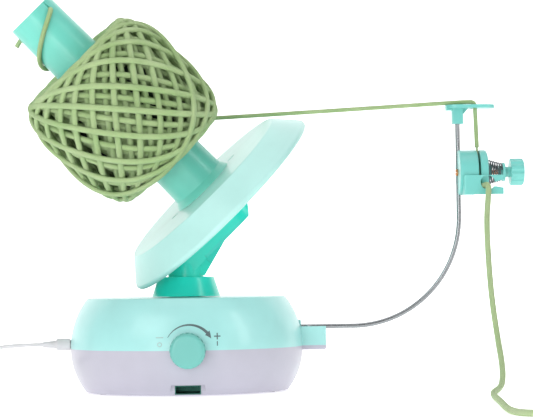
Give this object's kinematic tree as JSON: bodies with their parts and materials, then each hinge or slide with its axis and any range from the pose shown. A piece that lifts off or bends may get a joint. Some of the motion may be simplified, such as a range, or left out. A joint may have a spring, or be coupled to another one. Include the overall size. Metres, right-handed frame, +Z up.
{
  "type": "electric yarn ball winder",
  "caption": "Electric yarn ball winder: a round motor base turns a turret whose tilted tube winds yarn into a ball, fed from a wire arm with a guide eye and tensioner.",
  "frame": {"origin": "centre of the round base on the table", "axes": "+Z up; -Y the front, with the speed knob and clamp slot; +X the side with the wire arm; -X the side with the power lead"},
  "size_m": [0.4094, 0.3782, 0.2554],
  "materials": {
    "upper_shell": "gloss",
    "lower_shell": "gloss",
    "turret_shell": "gloss",
    "head_shell": "gloss",
    "disc_plastic": "satin",
    "tube_plastic": "satin",
    "white_plastic": "gloss",
    "gear_plastic": "matte",
    "board_green": "satin",
    "black_plastic": "satin",
    "steel": "brushed",
    "dark_steel": "dark",
    "bronze": "sintered",
    "copper_screw": "plated",
    "clamp_metal": "painted",
    "foot_rubber": "matte",
    "yarn": "wool",
    "lead_white": "matte"
  },
  "bodies": {
    "base": {"upper_housing": "upper_shell", "lower_housing": "lower_shell", "rubber_feet": "foot_rubber", "housing_screws": "steel", "clamp_socket": "clamp_metal", "gear_plate": "white_plastic", "gear_plate_screws": "steel", "lower_bush": "bronze", "upper_bush": "bronze", "motor": "steel", "motor_screws": "steel", "compound_axle": "steel", "sun_post": "steel", "speed_potentiometer": "black_plastic", "circuit_board": "board_green", "board_supports": "white_plastic", "board_components": "black_plastic", "power_socket": "black_plastic", "guide_arm": "steel", "arm_lock_screws": "steel", "guide_plate": "white_plastic", "tension_drum": "white_plastic", "tension_bolt": "copper_screw", "tension_spring": "dark_steel", "yarn_lead": "yarn", "yarn_nip": "yarn", "yarn_tail": "yarn", "lead_plug": "lead_white", "strain_relief": "lead_white", "power_lead": "lead_white", "lead_coil": "lead_white", "coil_tie": "lead_white", "usb_grip": "lead_white", "usb_shell": "steel"},
    "motor_rotor": {"motor_pinion": "gear_plastic"},
    "compound": {"compound_gear": "gear_plastic"},
    "turret": {"turret_housing": "turret_shell", "turret_hub": "white_plastic", "hub_screws": "steel", "turret_gear": "gear_plastic", "head_cover": "head_shell", "head_cover_screws": "steel", "front_bearing": "steel", "rear_bearing": "steel", "idler_pin": "steel"},
    "jack": {"jack_gear": "gear_plastic"},
    "idler": {"idler_gear": "gear_plastic"},
    "spindle": {"spindle_gear": "gear_plastic", "spindle_shaft": "steel", "winding_disc": "disc_plastic", "yarn_tube": "tube_plastic", "tube_nut": "steel", "yarn_ball": "yarn", "yarn_start": "yarn"},
    "speed_control": {"speed_knob": "white_plastic", "knob_shaft": "steel"},
    "presser": {"pressure_disc": "white_plastic"},
    "cap": {"spring_cap": "white_plastic"},
    "tension_control": {"tension_knob": "white_plastic"}
  },
  "joints": [
    {"name": "turret_spin", "type": "hinge", "parent": "base", "child": "turret", "pos_m": [0, 0, 0.061], "axis": [0, 0, 1], "continuous": true, "deforming": ["yarn_lead"]},
    {"name": "spindle_spin", "type": "hinge", "parent": "turret", "child": "spindle", "pos_m": [0, 0, 0.1443], "axis": [-0.6941, -0.1349, 0.7071], "continuous": true},
    {"name": "jack_spin", "type": "hinge", "parent": "turret", "child": "jack", "pos_m": [0.00639, 0.00124, 0.09424], "axis": [-0.6941, -0.1349, 0.7071], "continuous": true},
    {"name": "idler_spin", "type": "hinge", "parent": "turret", "child": "idler", "pos_m": [0.01402, 0.00398, 0.10225], "axis": [-0.6941, -0.1349, 0.7071], "continuous": true},
    {"name": "compound_spin", "type": "hinge", "parent": "base", "child": "compound", "pos_m": [-0.0159, 0.02544, 0.04], "axis": [0, 0, 1], "continuous": true},
    {"name": "motor_spin", "type": "hinge", "parent": "base", "child": "motor_rotor", "pos_m": [-0.0059, 0.04276, 0.04], "axis": [0, 0, 1], "continuous": true},
    {"name": "speed_knob_turn", "type": "hinge", "parent": "base", "child": "speed_control", "pos_m": [0, -0.075, 0.0288], "axis": [0, 1, 0], "range_deg": [0, 280]},
    {"name": "pressure_disc_slide", "type": "slide", "parent": "base", "child": "presser", "axis": [1, 0, 0], "range_m": [0, 0.002], "stiffness_N_per_m": 150, "springref_m": -0.004, "deforming": ["tension_spring"]},
    {"name": "spring_cap_slide", "type": "slide", "parent": "base", "child": "cap", "axis": [1, 0, 0], "range_m": [-0.0015, 0.0005]},
    {"name": "tension_knob_turn", "type": "hinge", "parent": "cap", "child": "tension_control", "pos_m": [0.2105, -0.0032, 0.1395], "axis": [1, 0, 0], "range_deg": [-1080, 360]}
  ],
  "couplings": [
    {"joint": "spindle_spin", "follows": "turret_spin", "ratio": 0.0625},
    {"joint": "jack_spin", "follows": "turret_spin", "ratio": 0.25},
    {"joint": "idler_spin", "follows": "turret_spin", "ratio": -0.077586},
    {"joint": "compound_spin", "follows": "turret_spin", "ratio": -4},
    {"joint": "motor_spin", "follows": "turret_spin", "ratio": 16},
    {"joint": "tension_knob_turn", "follows": "spring_cap_slide", "rad_per_m": 12566}
  ]
}
